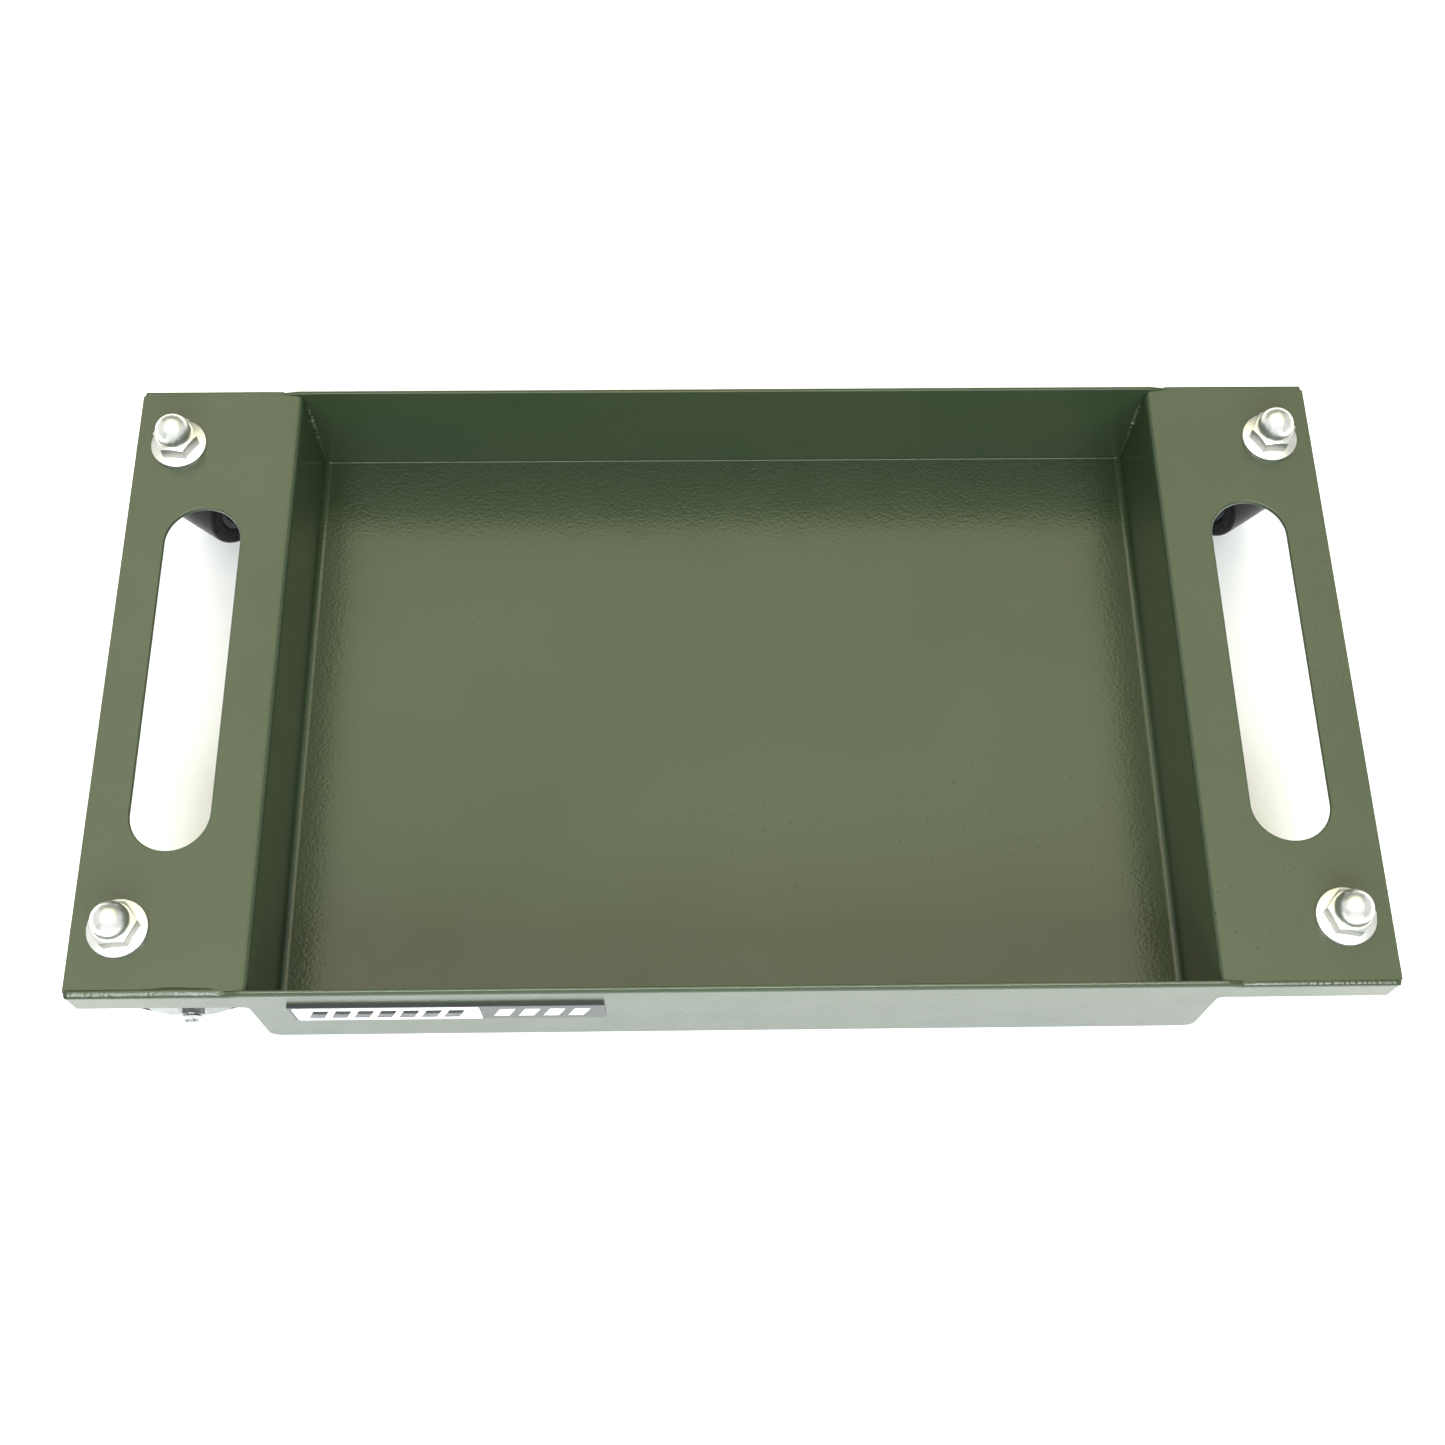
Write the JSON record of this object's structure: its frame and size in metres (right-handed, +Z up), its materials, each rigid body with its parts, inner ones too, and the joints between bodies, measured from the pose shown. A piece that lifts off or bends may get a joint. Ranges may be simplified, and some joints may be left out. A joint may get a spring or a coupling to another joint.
{
  "type": "rolling tray",
  "caption": "Low rectangular steel tray with a slotted hand-hold wing at each end, carried on swivel castors held by domed nuts.",
  "frame": {"origin": "on the floor, under the middle of the tray, midway between the castors' swivel axes", "axes": "+X along the tray's length, +Y from the name plate's side to the opposite side, +Z up"},
  "size_m": [0.5632, 0.3199, 0.1022],
  "materials": {
    "powder_coat": "semi-gloss olive green powder coat with fine orange peel",
    "plate_black": "gloss charcoal",
    "label_white": "satin white, blank",
    "bright_zinc": "bright zinc plate",
    "zinc_steel": "zinc-plated pressed steel",
    "bearing_steel": "polished bearing balls, greased",
    "core_plastic": "moulded dark grey plastic",
    "grey_rubber": "dark grey rubber tread"
  },
  "bodies": {
    "tray": {"tray_pan": "powder_coat", "front_panel": "powder_coat", "rear_panel": "powder_coat", "weld_beads": "powder_coat", "name_plate": "plate_black", "blank_label": "label_white", "front_left_dome_nut": "bright_zinc", "front_left_mounting_bolt": "bright_zinc", "front_left_top_cup": "zinc_steel", "front_left_kingpin": "zinc_steel", "front_right_dome_nut": "bright_zinc", "front_right_mounting_bolt": "bright_zinc", "front_right_top_cup": "zinc_steel", "front_right_kingpin": "zinc_steel", "rear_left_dome_nut": "bright_zinc", "rear_left_mounting_bolt": "bright_zinc", "rear_left_top_cup": "zinc_steel", "rear_left_kingpin": "zinc_steel", "rear_right_dome_nut": "bright_zinc", "rear_right_mounting_bolt": "bright_zinc", "rear_right_top_cup": "zinc_steel", "rear_right_kingpin": "zinc_steel"},
    "front_left_swivel": {"front_left_fork": "zinc_steel", "front_left_bearing_balls": "bearing_steel", "front_left_axle_bolt": "bright_zinc", "front_left_axle_nut": "bright_zinc", "front_left_axle_washers": "bright_zinc", "front_left_axle_sleeve": "zinc_steel"},
    "front_left_wheel": {"front_left_wheel_core": "core_plastic", "front_left_tyre": "grey_rubber"},
    "front_right_swivel": {"front_right_fork": "zinc_steel", "front_right_bearing_balls": "bearing_steel", "front_right_axle_bolt": "bright_zinc", "front_right_axle_nut": "bright_zinc", "front_right_axle_washers": "bright_zinc", "front_right_axle_sleeve": "zinc_steel"},
    "front_right_wheel": {"front_right_wheel_core": "core_plastic", "front_right_tyre": "grey_rubber"},
    "rear_left_swivel": {"rear_left_fork": "zinc_steel", "rear_left_bearing_balls": "bearing_steel", "rear_left_axle_bolt": "bright_zinc", "rear_left_axle_nut": "bright_zinc", "rear_left_axle_washers": "bright_zinc", "rear_left_axle_sleeve": "zinc_steel"},
    "rear_left_wheel": {"rear_left_wheel_core": "core_plastic", "rear_left_tyre": "grey_rubber"},
    "rear_right_swivel": {"rear_right_fork": "zinc_steel", "rear_right_bearing_balls": "bearing_steel", "rear_right_axle_bolt": "bright_zinc", "rear_right_axle_nut": "bright_zinc", "rear_right_axle_washers": "bright_zinc", "rear_right_axle_sleeve": "zinc_steel"},
    "rear_right_wheel": {"rear_right_wheel_core": "core_plastic", "rear_right_tyre": "grey_rubber"}
  },
  "joints": [
    {"name": "front_left_swivel_turn", "type": "hinge", "parent": "tray", "child": "front_left_swivel", "pos_m": [-0.26, -0.12, 0.075], "axis": [0, 0, 1], "continuous": true},
    {"name": "front_left_wheel_spin", "type": "hinge", "parent": "front_left_swivel", "child": "front_left_wheel", "pos_m": [-0.24207, -0.11843, 0.03], "axis": [-0.0872, 0.9962, 0], "continuous": true},
    {"name": "front_right_swivel_turn", "type": "hinge", "parent": "tray", "child": "front_right_swivel", "pos_m": [0.26, -0.12, 0.075], "axis": [0, 0, 1], "continuous": true},
    {"name": "front_right_wheel_spin", "type": "hinge", "parent": "front_right_swivel", "child": "front_right_wheel", "pos_m": [0.25326, -0.10331, 0.03], "axis": [-0.9272, -0.3746, 0], "continuous": true},
    {"name": "rear_left_swivel_turn", "type": "hinge", "parent": "tray", "child": "rear_left_swivel", "pos_m": [-0.26, 0.12, 0.075], "axis": [0, 0, 1], "continuous": true},
    {"name": "rear_left_wheel_spin", "type": "hinge", "parent": "rear_left_swivel", "child": "rear_left_wheel", "pos_m": [-0.24993, 0.13492, 0.03], "axis": [-0.829, 0.5592, 0], "continuous": true},
    {"name": "rear_right_swivel_turn", "type": "hinge", "parent": "tray", "child": "rear_right_swivel", "pos_m": [0.26, 0.12, 0.075], "axis": [0, 0, 1], "continuous": true},
    {"name": "rear_right_wheel_spin", "type": "hinge", "parent": "rear_right_swivel", "child": "rear_right_wheel", "pos_m": [0.2502, 0.1351, 0.03], "axis": [-0.8387, -0.5446, 0], "continuous": true}
  ]
}
